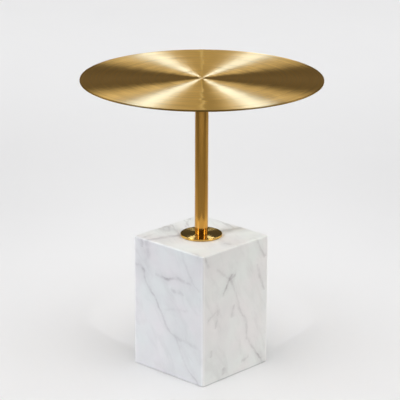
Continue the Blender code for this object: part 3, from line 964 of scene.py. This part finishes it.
def section_at(shape, turn, outline):
    """Points of a (radius, height) outline, turned to one angle about Z."""
    heading = Vector((math.cos(turn), math.sin(turn), 0))
    return [shape.verts.new(heading * radius + Vector((0, 0, height))) for radius, height in outline]


def skinned(shape, sections):
    """Joins each section to the next with a band of faces."""
    for section, following in zip(sections, sections[1:]):
        for spot in range(len(section)):
            shape.faces.new((section[spot - 1], section[spot], following[spot], following[spot - 1]))


def hexagon_nut(flats, low, high, bore):
    """A hexagon nut about Z with its corners turned back and its bore countersunk."""
    shape = bmesh.new()
    face = NUT_FACE_SHARE * flats / 2
    sections = []
    for step in range(NUT_STEPS):
        turn = math.tau * step / NUT_STEPS
        off_middle = (turn + math.pi / 6) % (math.pi / 3) - math.pi / 6
        reach = flats / 2 / math.cos(off_middle)
        drop = (reach - face) * math.tan(NUT_CHAMFER)
        outline = [(bore, low + NUT_SINK), (bore + NUT_SINK, low), (face, low), (reach, low + drop)]
        outline += [(reach, high - drop), (face, high), (bore + NUT_SINK, high), (bore, high - NUT_SINK)]
        sections.append(section_at(shape, turn, outline))
    skinned(shape, sections + sections[:1])
    return mesh_from(shape)


def span_of(node):
    """The lowest and highest height of a CAD node."""
    low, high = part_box(node)
    return low.z, high.z


def four(name):
    """The names of four numbered CAD nodes."""
    return [f"{name}_{number}" for number in range(1, 5)]


low, high = span_of("weld_stud_1")
outline = [(0.0, low), (STUD_RADIUS - STUD_TIP, low)]
outline += threaded_rows(STUD_RADIUS, low + STUD_TIP, plate_low, STUD_PITCH)
outline += [(STUD_RADIUS, high), (0.0, high)]
sizes = {"Pitch": STUD_PITCH, "Depth": STUD_THREAD_DEPTH, "Low": low, "High": plate_low, "Material": steel}
studs = grown(turned(outline, steps=32), (thread, sizes), (copies, four_studs))
put("weld_studs", studs, steel, "zinc_steel", *four("weld_stud"))

low, high = span_of("stud_washer_1")
washer = flat_ring(STUD_HOLE, WASHER_RADIUS, low, high, WASHER_EDGE, steps=64)
washers = grown(washer, (copies, four_studs))
put("plain_washers", washers, steel, "zinc_steel", *four("stud_washer"))

low, high = span_of("stud_nut_1")
nut = hexagon_nut(STUD_NUT_FLATS, low, high, STUD_NUT_HOLE)
put("hexagon_nuts", grown(nut, (copies, four_studs)), steel, "zinc_steel", *four("stud_nut"))

# %% [markdown]
# A threaded rod runs from the flange's hub through the column and the stone. Only its ends carry a thread.
# A turned bush keeps the foot of the column centred on it.

# %% Rod and bush
ROD_RADIUS = 0.005
ROD_PITCH = 0.0015
ROD_THREAD_DEPTH = 0.0009
ROD_TIP = 0.001
ROD_TAIL_THREAD = 0.030
BUSH_CHAMFER = 0.001
BUSH_GROOVE = 0.0006
low, high = span_of("tie_rod")
tail_top = low + ROD_TAIL_THREAD
head_low = high - ROD_ENGAGEMENT
outline = [(0.0, low), (ROD_RADIUS - ROD_TIP, low)]
outline += threaded_rows(ROD_RADIUS, low + ROD_TIP, tail_top, ROD_PITCH)
outline += threaded_rows(ROD_RADIUS, head_low, high - ROD_TIP, ROD_PITCH)
outline += [(ROD_RADIUS - ROD_TIP, high), (0.0, high)]
sizes = {"Pitch": ROD_PITCH, "Depth": ROD_THREAD_DEPTH, "Material": steel}
tail = (thread, {**sizes, "Low": low, "High": tail_top})
head = (thread, {**sizes, "Low": head_low, "High": high})
rod = grown(turned(outline, steps=40), tail, head)
put("threaded_rod", rod, steel, "zinc_steel", "tie_rod")

low, high = span_of("centring_bush")
middle = (low + high) / 2
outline = [(ROD_HOLE, low), (hub_radius - BUSH_CHAMFER, low), (hub_radius, low + BUSH_CHAMFER)]
for end, depth in ((-3, 0), (-2, 1), (2, 1), (3, 0)):
    outline.append((hub_radius - depth * BUSH_GROOVE, middle + end * BUSH_GROOVE))
outline += [(hub_radius, high - BUSH_CHAMFER), (hub_radius - BUSH_CHAMFER, high), (ROD_HOLE, high)]
put("column_bush", turned(outline), steel, "zinc_steel", "centring_bush")

# %% [markdown]
# In the recess under the stone a broad washer, a split spring washer and a nut pull the rod tight.
# The spring washer is a square wire wound almost once round; it climbs on the way, so its ends don't meet.

# %% Clamp under the stone
CLAMP_NUT_FLATS = 0.016
CLAMP_WASHER_EDGE = 0.0006
SPRING_WIDTH = 0.0035
SPRING_RISE = 0.0006
SPRING_SPLIT = math.radians(9)
SPRING_STEPS = 72
low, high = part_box("clamp_washer")
washer = flat_ring(ROD_HOLE, high.x, low.z, high.z, CLAMP_WASHER_EDGE, steps=128)
put("broad_washer", washer, steel, "zinc_steel", "clamp_washer")


def spring_washer(inner, outer, low, high):
    """A square wire wound once round Z from the split, climbing a little on the way."""
    shape = bmesh.new()
    thickness = high - low - SPRING_RISE
    sections = []
    for step in range(SPRING_STEPS + 1):
        turn = (math.tau - SPRING_SPLIT) * step / SPRING_STEPS
        base = low + SPRING_RISE * step / SPRING_STEPS
        corners = [(inner, base), (outer, base), (outer, base + thickness), (inner, base + thickness)]
        sections.append(section_at(shape, turn, corners))
    skinned(shape, sections)
    shape.faces.new(sections[0])
    shape.faces.new(sections[-1])
    return mesh_from(shape)


low, high = span_of("lock_washer")
spring = spring_washer(ROD_HOLE, ROD_HOLE + SPRING_WIDTH, low, high)
put("spring_washer", spring, steel, "zinc_steel", "lock_washer")

low, high = span_of("clamp_nut")
nut = hexagon_nut(CLAMP_NUT_FLATS, low, high, ROD_THREAD_HOLE)
put("rod_nut", nut, steel, "zinc_steel", "clamp_nut")

# %% [markdown]
# A rubber ring keeps the steel off the stone, and four thin rubber pads keep the stone off the floor.
# The pads have two moulded grooves for grip, and come from the same ring of copies as the studs.

# %% Rubber ring and pads
RUBBER_TONES = ((0.024, 0.024, 0.025), (0.07, 0.068, 0.065))
RUBBER_ROUGHNESS = (0.68, 0.88)
GASKET_EDGE = 0.0005
PAD_EDGE = 0.0003
PAD_GROOVES = (0.0045, 0.0085)
GROOVE_HALF = 0.0006
GROOVE_DEPTH = 0.00025


def black_rubber():
    """Matte black rubber with a fine grain and a little dust."""
    material, tree, shader, place = finish("black_rubber", Specular_IOR_Level=0.35)
    grain = noise(tree, place, 900.0, 4.0, 0.65)
    colour = mixed(tree, ranged(tree, grain, 0.35, 0.8, 0, 1), *RUBBER_TONES)
    surfaced(tree, shader, colour, ranged(tree, grain, *NOISE_SPAN, *RUBBER_ROUGHNESS))
    return material


rubber = black_rubber()
low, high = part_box("stone_gasket")
ring = flat_ring(ROD_HOLE, high.x, low.z, high.z, GASKET_EDGE)
put("rubber_ring", ring, rubber, "black_rubber", "stone_gasket")

low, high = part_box("foot_1")
pad_radius = (high.x - low.x) / 2
outline = [(0.0, low.z)]
for groove in PAD_GROOVES:
    outline += [(groove - 2 * GROOVE_HALF, low.z), (groove - GROOVE_HALF, low.z + GROOVE_DEPTH)]
    outline += [(groove + GROOVE_HALF, low.z + GROOVE_DEPTH), (groove + 2 * GROOVE_HALF, low.z)]
outline += [*rim(pad_radius, low.z, high.z, PAD_EDGE), (0.0, high.z)]
pad = turned(outline, steps=64)
pads = grown(pad, (copies, four_on(pad_ring, rubber)))
put("foot_pads", pads, rubber, "black_rubber", *four("foot"))

# %% [markdown]
# Light linking says which lamp may light which piece, and which piece may shade it, as flags do in a studio.
# The disc, the floor, the stone and the rosette keep their own lamps to themselves.
# The photograph has one soft shadow close to the stone and none of the disc, so only the block shades the
# lamp over the middle of the floor.

# %% Flags for the lamps
def listed(name, pieces, state="INCLUDE"):
    """A collection for light linking that takes in the pieces, or leaves them out."""
    collection = bpy.data.collections.new(name)
    for piece in pieces:
        collection.objects.link(piece)
    for entry in collection.collection_objects:
        entry.light_linking.link_state = state
    return collection


block_only = listed("block_only", [block])
flags = [
    (disc_lamps, listed("disc_only", [top])),
    (floor_lamps, listed("floor_only", [floor])),
    (body_lamps, listed("neither_floor_nor_disc", [floor, top], "EXCLUDE")),
    (panels, listed("all_but_floor", [floor], "EXCLUDE")),
    (stone_lamps, block_only),
    (rosette_lamps, listed("rosette_only", [rosette])),
]
for lamps, receivers in flags:
    for lamp in lamps:
        lamp.light_linking.receiver_collection = receivers
shadow_lamp.light_linking.blocker_collection = block_only
print("linked lamps:", sum(len(lamps) for lamps, receivers in flags))
